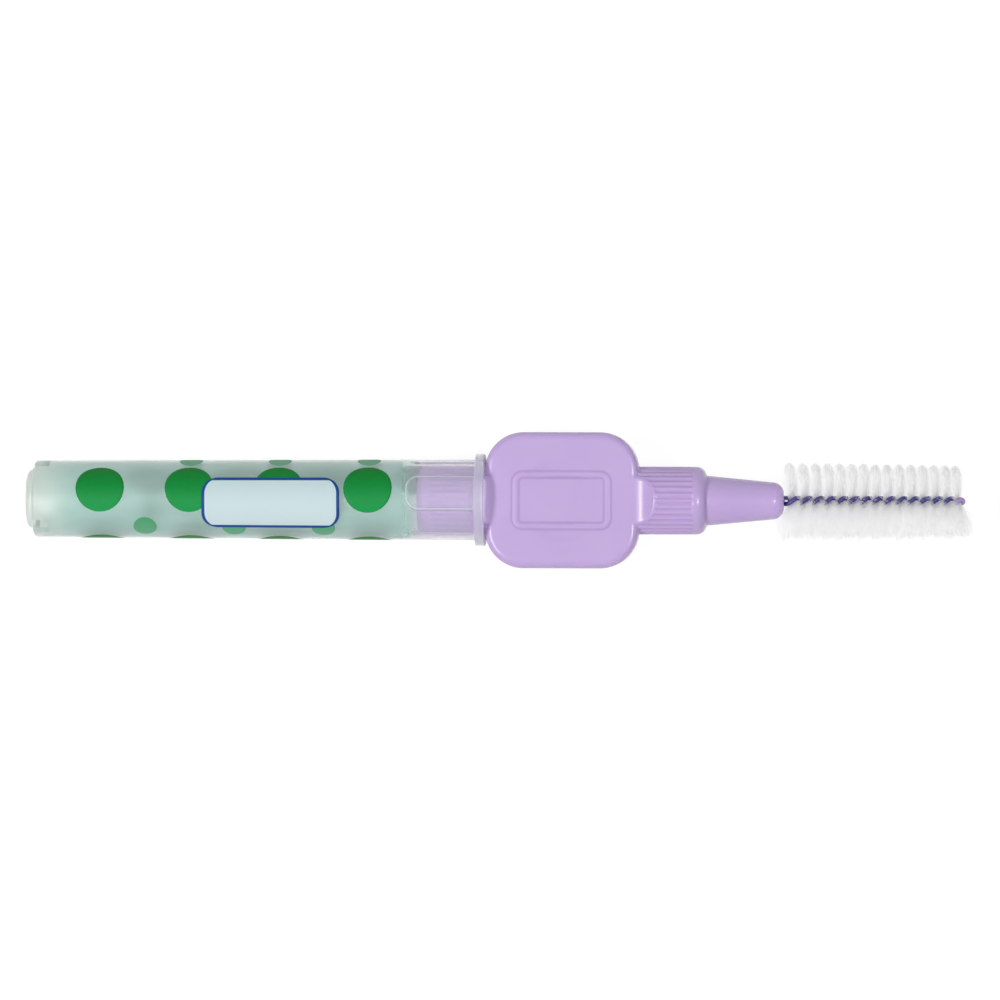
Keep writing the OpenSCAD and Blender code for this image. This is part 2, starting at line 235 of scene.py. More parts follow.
def softbox(name, aside, forward, length, width, power):
    """A soft lamp aimed at the brush, so many degrees aside (+X) and forward (+Y) from straight above."""
    data = bpy.data.lights.new(name, "AREA")
    data.shape = "RECTANGLE"
    data.size, data.size_y = length, width
    data.energy = power
    lamp = bpy.data.objects.new(name, data)
    scene.collection.objects.link(lamp)
    lean = [math.tan(math.radians(angle)) for angle in (aside, forward)]
    aim = Vector((0, 0, axis_z))
    lamp.location = aim + lamp_distance * Vector((*lean, 1)).normalized()
    lamp.rotation_euler = (aim - lamp.location).to_track_quat("-Z", "Y").to_euler()


softbox("left_softbox", aside=-31, forward=-9, length=380 * MM, width=130 * MM, power=3.3)
softbox("right_softbox", aside=28, forward=-2, length=110 * MM, width=110 * MM, power=1.75)
softbox("top_softbox", aside=-6, forward=4, length=400 * MM, width=400 * MM, power=0.35)
print("lamps set")


# %% Sky
def direct_view(tree):
    """1 where the camera sees something itself, in a reflection or through clear plastic."""
    seen = tree.node("ShaderNodeLightPath", out="Is Camera Ray")
    for name in ("Is Glossy Ray", "Is Transmission Ray"):
        seen = seen.high(tree.node("ShaderNodeLightPath", out=name))
    return seen


sky_light = 0.15
world = bpy.data.worlds.new("studio_sky")
world.use_nodes = True
scene.world = world
world.node_tree.nodes.clear()
sky = Tree(world.node_tree)
strength = sky_light + (1 - sky_light) * direct_view(sky)
background = sky.node("ShaderNodeBackground", {}, {"Color": (1, 1, 1, 1), "Strength": strength})
sky.node("ShaderNodeOutputWorld", {}, {"Surface": background})
print("sky set")


# %% New materials and pieces
def new_finish(name):
    """An empty node material, as its data block and its tree."""
    material = bpy.data.materials.new(name)
    material.use_nodes = True
    material.node_tree.nodes.clear()
    return material, Tree(material.node_tree)


def show(tree, shader):
    """Sends a shader to the material's output."""
    tree.node("ShaderNodeOutputMaterial", {}, {"Surface": shader})


def new_piece(name, mesh):
    """A scene object for a mesh whose place is already in its points."""
    piece = bpy.data.objects.new(name, mesh)
    scene.collection.objects.link(piece)
    return piece


# %% The table
table_half = 1.5
table_glow = 0.82        # how much of its look is the white glow
paper_white = (0.82, 0.82, 0.82, 1)
glow_strength = 1.12
table_white, tree = new_finish("table_white")
paper = tree.node("ShaderNodeBsdfDiffuse", {}, {"Color": paper_white})
glow = tree.node("ShaderNodeEmission", {}, {"Color": (1, 1, 1, 1), "Strength": glow_strength})
show(tree, tree.node("ShaderNodeMixShader", {}, [table_glow * direct_view(tree), paper, glow]))

work = bmesh.new()
bmesh.ops.create_grid(work, x_segments=1, y_segments=1, size=table_half)
table_mesh = bpy.data.meshes.new("table")
work.to_mesh(table_mesh)
table = new_piece("table", table_mesh)
table_mesh.transform(Matrix.Translation((0, 0, cad_bounds[0][2])))
table_mesh.materials.append(table_white)
print("table", table_half * 2, "m wide")

# %% [markdown]
# ## Recipes for what follows a rule
# The handle is a distance that can be written down, the wire is one path, the bristles are thousands of
# copies of one hair, and the print repeats a patch. None of them is worth modelling by hand, so each gets
# a Geometry Nodes tree, called a recipe here. Its sizes are named inputs. The evaluated result is turned
# into a plain mesh, so nothing depends on a live modifier afterwards.

# %% A modifier's result as a plain mesh
def baked(piece):
    """Replaces a piece's mesh by what its modifiers make of it."""
    shaped = bpy.data.meshes.new_from_object(piece.evaluated_get(bpy.context.evaluated_depsgraph_get()))
    piece.modifiers.clear()
    piece.data = shaped
    return piece


# %% A recipe and how it is grown
class Recipe(Tree):
    """A Geometry Nodes tree whose sizes are named inputs."""

    def __init__(self, name, sizes):
        super().__init__(bpy.data.node_groups.new(name, "GeometryNodeTree"))
        face = self.group.interface
        face.new_socket("Geometry", in_out="OUTPUT", socket_type="NodeSocketGeometry")
        self.sizes = sizes
        self.keys = {}
        for label, size in sizes.items():
            kind = "NodeSocketInt" if isinstance(size, int) else "NodeSocketFloat"
            self.keys[label] = face.new_socket(label, in_out="INPUT", socket_type=kind).identifier
        asked = self.group.nodes.new("NodeGroupInput")
        self.asked = {label: Value(self, asked.outputs[label]) for label in sizes}

    def chance(self, low, high, seed):
        """A random number for each element, the same in every run."""
        ends = {2: low, 3: high, 8: seed}
        return self.node("FunctionNodeRandomValue", {"data_type": "FLOAT"}, ends, out=1)

    def vector(self, x, y, z):
        """Three numbers as one vector."""
        return self.node("ShaderNodeCombineXYZ", {}, (x, y, z))

    def serve(self, shape, material):
        """Ends the tree with real geometry in its material."""
        real = self.node("GeometryNodeRealizeInstances", {}, {"Geometry": shape})
        dressed = self.node("GeometryNodeSetMaterial", {}, {"Geometry": real, "Material": material})
        self.node("NodeGroupOutput", {}, {"Geometry": dressed})


def grow(name, recipe, **changed):
    """A plain mesh piece from a recipe, with some of its sizes changed."""
    piece = new_piece(name, bpy.data.meshes.new(name))
    modifier = piece.modifiers.new(recipe.group.name, "NODES")
    modifier.node_group = recipe.group
    for label, size in {**recipe.sizes, **changed}.items():
        modifier[recipe.keys[label]] = size
    return baked(piece)


# %% [markdown]
# ## The handle
# The handle is one moulding without a sharp edge anywhere. Bevels on thirty-four ribs that run into a
# hollow ramp would tangle, so the shape is written as a distance instead: at any point, how far is the
# plastic's surface? Smooth minima and maxima join the forms and round every edge between them, as a mould
# does. The frame round the blank panel is a low swell of the face itself. A Volume Cube samples that
# distance and Volume to Mesh draws the skin where it is zero.

# %% Sizes of the moulding, in millimetres
handle_sizes = {
    "Pad X": pad_x / MM, "Axis Height": axis_z / MM,
    "Pad Length": 15.8, "Pad Width": 14.0, "Pad Thickness": 5.2, "Corner": 4.0, "Rim": 0.78,
    "Dish Diameter": 8.8, "Dish Depth": 0.30,
    "Frame Length": 10.2, "Frame Width": 6.0, "Frame Corner": 1.1,
    "Ridge Half Width": 0.36, "Ridge Height": 0.065,
    "Ramp Start": 7.25, "Ramp Centre": 5.78, "Ramp Radius": 3.2, "Ramp Edge Round": 0.16,
    "Collar Width": 0.25,
    "Barrel Radius": 3.5, "Barrel Half": 14.875, "Barrel Shift": 0.025, "Barrel End Round": 1.05,
    "Band Start": 13.45, "Band Edge Round": 0.08, "Core Past Band": 0.3, "Core Round": 0.05,
    "Ribs": 34, "Rib Height": 0.1, "Rib Radius": 0.25, "Rib Foot Round": 0.06,
    "Rib Setback": 0.3, "Rib End Gap": 0.12,
    "Neck Start": 14.85, "Neck End": (neck_end - pad_x) / MM, "Neck Root Radius": 2.575,
    "Neck Tip Radius": 1.925, "Neck Tip Round": 1.2, "Neck Overlap": 1.0, "Bore Radius": 0.58,
    "Bore Start": (wire_start - pad_x) / MM, "Soft Joint": 0.12,
}
print(len(handle_sizes), "sizes of the moulding")


# %% Distance to the moulding's skin
def hypot(a, b):
    """The long side over two distances at a right angle."""
    return (a * a + b * b).sqrt()


def round_corner(a, b, radius):
    """Distance to a corner of a given radius, from the distances to its two sides."""
    a, b = a + radius, b + radius
    return hypot(a.high(0), b.high(0)) + a.high(b).low(0) - radius


def pad_distance(size, x, y, z):
    """The flat pad with its dishes and its raised panel frames, one on each face."""
    outline = round_corner(x - size["Pad Length"] / 2, y - size["Pad Width"] / 2, size["Corner"])
    middle = hypot(x, y) / (size["Dish Diameter"] / 2)
    dish = size["Dish Depth"] * (1 - middle * middle).high(0)
    face = z - size["Pad Thickness"] / 2
    panel = round_corner(x - size["Frame Length"] / 2, y - size["Frame Width"] / 2, size["Frame Corner"])
    aside = panel / size["Ridge Half Width"] + 1
    swell = (1 - aside * aside).high(0)
    ridge = size["Ridge Height"] * swell * swell
    return round_corner(outline, face + dish - ridge, size["Rim"])


def barrel_distance(size, x_signed, y_signed, z_signed):
    """Both ribbed barrels as one rod, hollowed by the ramps beside the pad."""
    x = x_signed.abs()
    z = z_signed.abs()
    out = hypot(y_signed, z_signed)
    core_end = size["Band Start"] + size["Core Past Band"]
    core = (out - size["Barrel Radius"] + size["Rib Height"]).high(x - core_end)
    end = (x_signed + size["Barrel Shift"]).abs() - size["Barrel Half"]
    band = round_corner(out - size["Barrel Radius"], end, size["Barrel End Round"])
    band = band.soft_high(size["Band Start"] - x, size["Band Edge Round"])
    rod = core.soft_low(band, size["Core Round"])

    drop = size["Ramp Centre"] - z
    past = (size["Ramp Radius"] * size["Ramp Radius"] - drop * drop).high(0).sqrt()
    first = size["Ramp Start"] + past + size["Rib Setback"]
    last = size["Band Start"] - size["Rib End Gap"]
    beyond = (first - x).high(x - last).high(0)
    step = 2 * math.pi / size["Ribs"]
    turn = (y_signed.angle_to(z_signed) + step / 2) % step - step / 2
    across = turn * (size["Barrel Radius"] - size["Rib Height"])
    height = out - size["Barrel Radius"] + size["Rib Radius"]
    rib = (across * across + height * height + beyond * beyond).sqrt() - size["Rib Radius"]
    rod = rod.soft_low(rib, size["Rib Foot Round"])

    ramp = size["Ramp Radius"] - hypot((x - size["Ramp Start"]).high(0), drop)
    collar = (out - size["Barrel Radius"]).high(-ramp - size["Collar Width"])
    rod = rod.soft_low(collar.high(x - size["Band Start"]), size["Core Round"])
    return rod.soft_high(ramp, size["Ramp Edge Round"])


def neck_distance(size, x, y, z):
    """The tapered neck with its rounded tip."""
    out = hypot(y, z)
    round_x = size["Neck End"] - size["Neck Tip Round"]
    slope = (size["Neck Root Radius"] - size["Neck Tip Radius"]) / (round_x - size["Neck Start"])
    side = out - size["Neck Tip Radius"] - slope * (round_x - x).high(0)
    cone = round_corner(side, x - size["Neck End"], size["Neck Tip Round"])
    return cone.high(size["Neck Start"] - size["Neck Overlap"] - x)


# %% [markdown]
# ## Lilac plastic
# The handle is moulded in polypropylene: satin, a little waxy, and coloured right through, so light sinks
# in and comes out again as a warmer purple beside edges. Subsurface light gives that. Slow noise keeps the
# colour from being dead flat, and a fine bump stands for the mould's spark-eroded skin. The foot of the
# frame and the grooves between the ribs gather shade, and that shade is painted into the colour as a deeper
# purple there. Both places are found with the same distances that shape the moulding.

# %% Where shade is painted on the moulding
def frame_foot(x, y, z):
    """1 along both feet of the raised frame, where shade is painted, falling to 0 beside them."""
    face_height, falloff = 2.0, 1.8
    size = handle_sizes
    panel = round_corner(x - size["Frame Length"] / 2, y - size["Frame Width"] / 2, size["Frame Corner"])
    aside = (panel / size["Ridge Half Width"] + 1).abs()
    return (1 - falloff * (aside - 1).abs()).high(0) * (z > face_height)


def rib_groove(x, y, z):
    """1 at the bottom of the grooves between the ribs, where shade is painted, falling to 0 at their crests.
    """
    past_pad, groove_share, groove_depth = 0.3, 0.8, 0.06
    size = handle_sizes
    groove_r = size["Barrel Radius"] - groove_share * size["Rib Height"]
    groove = (1 - (hypot(y, z) - groove_r).abs() / groove_depth).high(0)
    return groove * (x > size["Pad Length"] / 2 + past_pad) * (x < size["Band Start"])


# %% Lilac plastic
lilac_plastic, tree = new_finish("lilac_plastic")
place = tree.place()
flow = tree.noise(place, 160.0, 3.0)
skin = tree.noise(place, 5200.0, 2.0)
lilac = tree.blend(flow, (0.530, 0.388, 0.708, 1), (0.578, 0.433, 0.755, 1))

x, y, z = tree.parts(place)
from_middle = ((x - pad_x).abs() / MM, y.abs() / MM, (z - axis_z).abs() / MM)
# painted shade: the lilac turns deep purple at the foot of the frame and in the rib grooves
foot_shade, groove_shade = 0.5, 0.2
shade = (foot_shade * frame_foot(*from_middle)).high(groove_shade * rib_groove(*from_middle))
lilac = tree.blend(shade, lilac, (0.34, 0.20, 0.50, 1))
show(tree, tree.node("ShaderNodeBsdfPrincipled", {}, {
    "Base Color": lilac,
    "Roughness": 0.215 + 0.05 * flow,
    "Specular IOR Level": 0.45,
    "Subsurface Weight": 0.35,
    "Subsurface Radius": (1.0, 0.55, 1.2),
    "Subsurface Scale": 0.6 * MM,
    "Normal": tree.node("ShaderNodeBump", {}, {"Strength": 0.25, "Distance": 0.02 * MM, "Height": skin}),
}))
print("lilac plastic ready")

# %% The moulding as a recipe
moulding = Recipe("lilac_moulding", {
    **handle_sizes, "Steps Along": 262, "Steps Across": 149, "Steps High": 78,
})
room_side, room_half_height = 0.3 * MM, 3.8 * MM
room_low = Vector((rear_end - room_side, handle_low.y - room_side, axis_z - room_half_height))
room_high = Vector((neck_end + room_side, handle_high.y + room_side, axis_z + room_half_height))


def lilac_moulding(recipe, material):
    """The skin of the handle, drawn where the distance to it is zero."""
    size = recipe.asked
    spot = recipe.node(
        "ShaderNodeVectorMath", {"operation": "SCALE"},
        {0: recipe.node("GeometryNodeInputPosition"), "Scale": 1 / MM},
    )
    x, y, z = recipe.parts(spot)
    x, z = x - size["Pad X"], z - size["Axis Height"]
    pad = pad_distance(size, x.abs(), y.abs(), z.abs())
    barrel = barrel_distance(size, x, y, z)
    neck = neck_distance(size, x, y, z)
    solid = pad.soft_low(barrel, size["Soft Joint"]).soft_low(neck, size["Soft Joint"])
    bore = (size["Bore Radius"] - hypot(y, z)).low(x - size["Bore Start"])
    cloud = recipe.node("GeometryNodeVolumeCube", {}, {
        "Density": -solid.high(bore), "Background": -1.0, "Min": room_low, "Max": room_high,
        "Resolution X": size["Steps Along"], "Resolution Y": size["Steps Across"],
        "Resolution Z": size["Steps High"],
    })
    skin = recipe.node("GeometryNodeVolumeToMesh", {}, {"Volume": cloud, "Threshold": 0.0})
    recipe.serve(recipe.node("GeometryNodeSetShadeSmooth", {}, {"Geometry": skin}), material)


# %% The handle
lilac_moulding(moulding, lilac_plastic)
handle = grow("lilac_handle", moulding)
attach(handle, "brush")
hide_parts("handle")
low_corner, high_corner = handle.bound_box[0], handle.bound_box[6]
print("handle:", len(handle.data.polygons), "faces, from", [round(v / MM, 2) for v in low_corner],
      "to", [round(v / MM, 2) for v in high_corner])

# %% [markdown]
# ## The twisted wire
# One wire is folded into a hairpin and its two legs are twisted left-handed round each other. A point on
# it knows how far along the fold it is. That gives its place between neck and tip, and its place round
# the axis. The violet plastic coating is a sheath with a real wall. Round the end bend it is stretched
# thin and looks paler. The steel inside it follows the same path: it is drawn through a die, so it is
# bright metal with a slightly uneven gloss.

# %% Wire path
strand_r = 0.245 * MM
coat_wall = 0.08 * MM
steel_r = 0.16 * MM
helix_r = 0.305 * MM
lead = 2.43 * MM
first_flat = neck_end + 0.83 * MM    # here one strand lies above the other and the hairs lie flat
bend_x = wire_tip - helix_r - strand_r
twist_start = wire_start + 2 * strand_r
turn_rate = 2 * math.pi / lead
print("turns of the twist:", round((bend_x - twist_start) / lead, 1))

wire = Recipe("twisted_hairpin", {
    "Start": wire_start, "Bend": bend_x, "Twist Start": twist_start,
    "First Flat": first_flat, "Turn Rate": turn_rate, "Helix Radius": helix_r, "Axis Height": axis_z,
    "Strand Radius": strand_r, "Points": 560, "Sides": 12, "Closed Ends": 0,
})


def along_wire(recipe, material):
    """The path of the folded wire, with a round section swept along it."""
    size = recipe.asked
    leg = size["Bend"] - size["Start"]
    fold = math.pi * size["Helix Radius"]
    step = recipe.node("GeometryNodeInputIndex") / (size["Points"] - 1)
    far = step * (2 * leg + fold)
    turn = ((far - leg) / fold).high(0).low(1) * math.pi
    straight = size["Start"] + far.low(leg) - (far - leg - fold).high(0)
    angle = (straight.high(size["Twist Start"]) - size["First Flat"]) * size["Turn Rate"]
    reach = size["Helix Radius"] * turn.cos()
    spot = recipe.vector(
        straight + size["Helix Radius"] * turn.sin(),
        reach * angle.sin(),
        size["Axis Height"] + reach * angle.cos(),
    )
    line = recipe.node("GeometryNodeMeshLine", {}, {"Count": size["Points"]})
    bent = recipe.node("GeometryNodeSetPosition", {}, {"Geometry": line, "Position": spot})
    path = recipe.node("GeometryNodeMeshToCurve", {}, {"Mesh": bent})
    round_section = recipe.node(
        "GeometryNodeCurvePrimitiveCircle", {},
        {"Resolution": size["Sides"], "Radius": size["Strand Radius"]},
    )
    tube = recipe.node("GeometryNodeCurveToMesh", {}, {
        "Curve": path, "Profile Curve": round_section, "Fill Caps": size["Closed Ends"] > 0.5,
    })
    recipe.serve(recipe.node("GeometryNodeSetShadeSmooth", {}, {"Geometry": tube}), material)


# %% Violet coating
violet_coating, tree = new_finish("violet_coating")
place = tree.place()
mottle = tree.noise(place, 900.0, 2.0)
violet = tree.blend(mottle, (0.035, 0.022, 0.200, 1), (0.075, 0.050, 0.280, 1))
pale_length, pale_fade = 1.3 * MM, 0.3 * MM
near_tip = (tree.parts(place)[0] - wire_tip + pale_length) / pale_fade
violet = tree.blend(near_tip.high(0).low(1), violet, (0.42, 0.27, 0.58, 1))
show(tree, tree.node("ShaderNodeBsdfPrincipled", {}, {
    "Base Color": violet, "Roughness": 0.30 + 0.12 * mottle, "Coat Weight": 0.2,
    "Subsurface Weight": 0.15, "Subsurface Scale": 0.15 * MM,
}))

# %% The coating as a sheath
along_wire(wire, violet_coating)
coating = grow("wire_sheath", wire)
wall = coating.modifiers.new("wall", "SOLIDIFY")
wall.thickness = coat_wall
wall.offset = -1
baked(coating)
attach(coating, "brush")
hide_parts("wire_coating")
print("coating:", len(coating.data.polygons), "faces")

# %% The steel inside
steel, tree = new_finish("drawn_steel")
drawn = tree.noise(tree.place(), 3000.0, 2.0)
show(tree, tree.node("ShaderNodeBsdfPrincipled", {}, {
    "Base Color": (0.62, 0.63, 0.65, 1), "Metallic": 1.0, "Roughness": 0.28 + 0.14 * drawn,
}))
core = grow("steel_core", wire, **{"Strand Radius": steel_r, "Sides": 10, "Closed Ends": 1})
core.data.materials.clear()
core.data.materials.append(steel)
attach(core, "brush")
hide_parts("steel_wire")
print("steel:", len(core.data.polygons), "faces")

# %% [markdown]
# ## The bristles
# Each nylon filament is pinched between the two strands and sticks out on both sides, square to the line
# between the strands. As the strands turn, the filaments turn with them, so their tips lie on a double
# screw. Free of the wire they spread a little along it, which widens the screw into rounded lobes. This
# brush has been handled: the hairs that would stand up have fallen to one side, where they make a dense,
# ragged mass and leave the wire open to view. An even sequence of fractions places the tips, because random
# numbers would clump. One hair has three sides and three lengths, because it is repeated thousands of
# times. Light is passed on from hair to hair more often than a renderer follows it, so a faint glow stands
# for the rest.

# %% Nylon
nylon_hair, tree = new_finish("nylon_hair")
batch = tree.noise(tree.place(), 1500.0, 1.0)
pale = tree.blend(batch, (0.96, 0.965, 0.97, 1), (0.99, 0.99, 0.99, 1))
# painted glow: the hairs emit a faint light of their own, standing for light passed on from hair to hair
painted_glow = 0.12 + 0.02 * tree.stored("along")
show(tree, tree.node("ShaderNodeBsdfPrincipled", {}, {
    "Base Color": pale, "Roughness": 0.35 + 0.1 * batch,
    "Emission Color": painted_glow, "Emission Strength": 1.0,
}))

# %% Bristle recipe
head_start = neck_end + 0.58 * MM
head_end = wire_tip - 0.53 * MM
brush_head = Recipe("screw_of_bristles", {
    "Hairs": 7200, "Start": head_start, "End": head_end, "First Flat": first_flat,
    "Turn Rate": turn_rate, "Axis Height": axis_z, "Root Radius": 0.12 * MM,
    "Radius At Neck": 3.95 * MM, "Radius At Tip": 3.70 * MM, "Hair Radius": 0.0105 * MM,
    "Spread": 0.54 * MM, "Loose Spread": 0.30 * MM, "Turn Spread": 0.10, "Uneven": 0.02,
    "Round Tops": 0.15, "Splayed Tops": 0.3, "Splay Width": 1.7 * MM, "Belly": 0.3, "Sway": 0.025 * MM,
    "End Lean": 0.9 * MM, "Back Lean": 0.38 * MM, "Fall": 1.0, "Ragged": 0.20, "Fallen Longer": 0.12,
})
tip_sequence, turn_sequence = 0.754878, 0.56984
gathered = 0.25          # how much the tips crowd towards the middle of a lobe


def screw_of_bristles(recipe, material):
    """Hairs placed by their number: where each is pinched, which side it takes and where its tip ends."""
    size = recipe.asked
    number = recipe.node("GeometryNodeInputIndex")
    share = (number + 0.5) / size["Hairs"]
    side = 1 - 2 * (number % 2)
    order = (number / 2).floor()
    even = (order * tip_sequence) % 1 * 2 - 1
    scatter = even * (1 - gathered + gathered * even * even)
    pinch = size["Start"] + share * (size["End"] - size["Start"])
    angle = (pinch - size["First Flat"]) * size["Turn Rate"]
    tip_angle = angle + size["Turn Spread"] * ((order * turn_sequence) % 1 * 2 - 1)
    out_y, out_z = side * tip_angle.cos(), -side * tip_angle.sin()
    out_y = out_y - size["Fall"] * out_z.high(0)
    out = hypot(out_y, out_z)
    out_y, out_z = out_y / out, out_z / out
    fallen = (-out_y).high(0)
    spread = (size["Spread"] + size["Loose Spread"] * fallen) * scatter
    near_end = 2 * share - 1
    lean = size["End Lean"] * near_end * near_end * near_end * fallen
    lean = lean - size["Back Lean"] * near_end * near_end * near_end * near_end * (1 - fallen)
    reach = size["Radius At Neck"] + share * (size["Radius At Tip"] - size["Radius At Neck"])
    round_top = 1 - size["Round Tops"] * (1 - (1 - scatter * scatter).high(0).sqrt())
    splayed = ((spread + lean) / size["Splay Width"]) ** 2
    round_top = round_top - size["Splayed Tops"] * splayed * splayed
    short = fallen * (size["Ragged"] * recipe.chance(0.0, 1.0, seed=18) - size["Fallen Longer"])
    reach = reach * (round_top - short + size["Uneven"] * recipe.chance(-1.0, 1.0, seed=13))

    root = recipe.vector(
        pinch, size["Root Radius"] * side * angle.cos(),
        size["Axis Height"] - size["Root Radius"] * side * angle.sin(),
    )
    tip = recipe.vector(pinch + spread + lean, reach * out_y, size["Axis Height"] + reach * out_z)
    run = recipe.node("ShaderNodeVectorMath", {"operation": "SUBTRACT"}, (tip, root))
    length = recipe.node("ShaderNodeVectorMath", {"operation": "LENGTH"}, (run,), out=1)
    aim = recipe.node("FunctionNodeAlignRotationToVector", {"axis": "Z"}, {"Vector": run})
    aside, forward, upward = (size["Sway"] * recipe.chance(-1.0, 1.0, seed) for seed in (14, 15, 16))
    sway = recipe.vector(aside + size["Belly"] * spread, forward, upward)

    hair = recipe.node(
        "GeometryNodeMeshCylinder", {"fill_type": "NGON"},
        {"Vertices": 3, "Side Segments": 3, "Radius": 1.0, "Depth": 1.0},
    )
    half_up = (0, 0, 0.5)        # stands the hair on its root
    hair = recipe.node("GeometryNodeSetPosition", {}, {"Geometry": hair, "Offset": half_up})
    height = recipe.parts(recipe.node("GeometryNodeInputPosition"))[2]
    hair = recipe.node(
        "GeometryNodeStoreNamedAttribute", {"data_type": "FLOAT"},
        {"Geometry": hair, "Name": "along", "Value": height},
    )
    pins = recipe.node("GeometryNodePoints", {}, {"Count": size["Hairs"], "Position": root})
    pins = recipe.node(
        "GeometryNodeStoreNamedAttribute", {"data_type": "FLOAT_VECTOR"},
        {"Geometry": pins, "Name": "sway", "Value": sway},
    )
    hairs = recipe.node("GeometryNodeInstanceOnPoints", {}, {
        "Points": pins, "Instance": hair, "Rotation": aim,
        "Scale": recipe.vector(size["Hair Radius"], size["Hair Radius"], length),
    })
    loose = recipe.node("GeometryNodeRealizeInstances", {}, {"Geometry": hairs})
    along = recipe.node("GeometryNodeInputNamedAttribute", {"data_type": "FLOAT"}, {"Name": "along"})
    drift = recipe.node("GeometryNodeInputNamedAttribute", {"data_type": "FLOAT_VECTOR"}, {"Name": "sway"})
    bend = recipe.node(
        "ShaderNodeVectorMath", {"operation": "SCALE"}, {0: drift, "Scale": 4 * along * (1 - along)},
    )
    swayed = recipe.node("GeometryNodeSetPosition", {}, {"Geometry": loose, "Offset": bend})
    recipe.serve(recipe.node("GeometryNodeSetShadeSmooth", {}, {"Geometry": swayed}), material)


# %% The brush head
screw_of_bristles(brush_head, nylon_hair)
bristles = grow("nylon_bristles", brush_head)
bristles.data.attributes.remove(bristles.data.attributes["sway"])
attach(bristles, "brush")
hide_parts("bristles")
print("bristles:", len(bristles.data.polygons), "faces")

# %% [markdown]
# ## The milky cap
# The cap is a thin tube turned round one axis, so its section is drawn once and turned in even steps. Three
# vents cut the corner at the closed end and four shallow pockets relieve the mouth from inside. Clear
# plastic shows every fault of a mesh, so the vents are left out of the grid and closed one by one, and the
# pockets are pressed into the inner wall's own points. Booleans would leave slivers that glitter.

# %% Section of the cap, in millimetres from its closed end
cap_len = 47.3
end_r, mouth_r, rim_r, socket_r = 3.96, 4.17, flange_r / MM, 3.55
boss_r, boss_h, shoulder_r = 3.09, 0.7, 0.5
bore_end_r, cap_floor = 3.34, 1.0
flange_w, flange_round, flange_foot = 0.98, 0.15, 0.04
hub_r, lip_round = 1.2, 0.1
socket_start = cap_len - 7.5
vent_r, vent_len, vent_first, vent_angle, vent_count = 3.11, 2.4, 72, 28, 3
pocket_start, pocket_w, pocket_depth, pocket_corner = cap_len - 8.0, 3.5, 0.2, 1.3
pocket_first, pocket_count = 11.5, 4
pocket_slope = 0.12      # width of the step at a pocket's edge
even_end = pocket_start - 0.3        # the section needs few points up to here
spokes = 180


def arc(r, t, radius, start, stop, steps=8):
    """Points of a section's rounded corner, as (radius, place along the cap)."""
    angles = np.radians(np.linspace(start, stop, steps + 1))
    return [(r + radius * math.cos(a), t + radius * math.sin(a)) for a in angles]


def between(start, stop, steps):
    """Points on a straight stretch of the section, without its first one."""
    return [tuple(p) for p in np.linspace(start, stop, steps + 1)[1:]]


def outer_r(t):
    """Radius of the cap's outside, t millimetres from the closed end."""
    side = boss_h + shoulder_r
    return end_r + (mouth_r - end_r) * (t - side) / (cap_len - flange_w - side)


def bore_r(t):
    """Radius of the cap's bore, t millimetres from the closed end."""
    return min(socket_r, bore_end_r + (socket_r - bore_end_r) * (t - cap_floor) / (socket_start - cap_floor))


section = [(0, 0), (hub_r, 0)] + arc(boss_r - boss_h, boss_h, boss_h, -90, 0)
vent_top = len(section)
section += [(vent_r, boss_h)] + arc(end_r - shoulder_r, boss_h + shoulder_r, shoulder_r, -90, 0)
vent_side = len(section)
section += [(outer_r(vent_len), vent_len)]
section += between(section[-1], (outer_r(even_end), even_end), steps=18)
section += between(section[-1], (mouth_r, cap_len - flange_w), steps=56)
section += [(mouth_r + flange_foot, cap_len - flange_w)]
section += arc(rim_r - flange_round, cap_len - flange_w + flange_round, flange_round, -90, 0, steps=5)
section += arc(rim_r - flange_round, cap_len - flange_round, flange_round, 0, 90, steps=5)
section += arc(socket_r + lip_round, cap_len - lip_round, lip_round, 90, 180, steps=4)
section += between(section[-1], (socket_r, socket_start), steps=60)
section += between(section[-1], (bore_r(even_end), even_end), steps=10)
back_steps = 25
vent_back = len(section) + back_steps - 1
section += between(section[-1], (bore_r(vent_len), vent_len), steps=back_steps)
section += [(bore_end_r, cap_floor), (vent_r, cap_floor), (hub_r, cap_floor), (0, cap_floor)]
vent_floor = len(section) - 3
print("section of the cap:", len(section), "points")

# %% [markdown]
# ## Milky plastic
# Natural polypropylene is milky: light goes through it and is scattered on the way. The body is tinted
# green by the print all round it, the closed end and the flange are pale, and over the barrel the wall is
# clearer and lets the lilac through; there its colour is also tinted lilac, painted light from the barrel
# beneath. The edge of each relief pocket catches the light as a pale line, and this highlight is painted on
# the outer wall, where a number on its points draws it. Lamps shine through such a wall, so shadow rays are
# let through in part.

# %% Milky plastic
body_end, barrel_start, flange_start = pocket_start - 0.4, pocket_start + 0.1, cap_len - 1.0
frost_length, barrel_fade = 5.0, 1.2
clear_share, highlight_share, lamp_share = 0.3, 0.6, 0.2
smoother = 0.21          # how much less rough the wall is past the body

milky_plastic, tree = new_finish("milky_plastic")
place = tree.place()
cloud = tree.noise(place, 220.0, 3.0)
from_end = (tree.parts(place)[0] - cap_low.x) / MM
frosted_end = (1 - from_end / frost_length).high(0)
over_barrel = ((from_end - barrel_start) / barrel_fade).high(0).low(1)
on_flange = from_end > flange_start

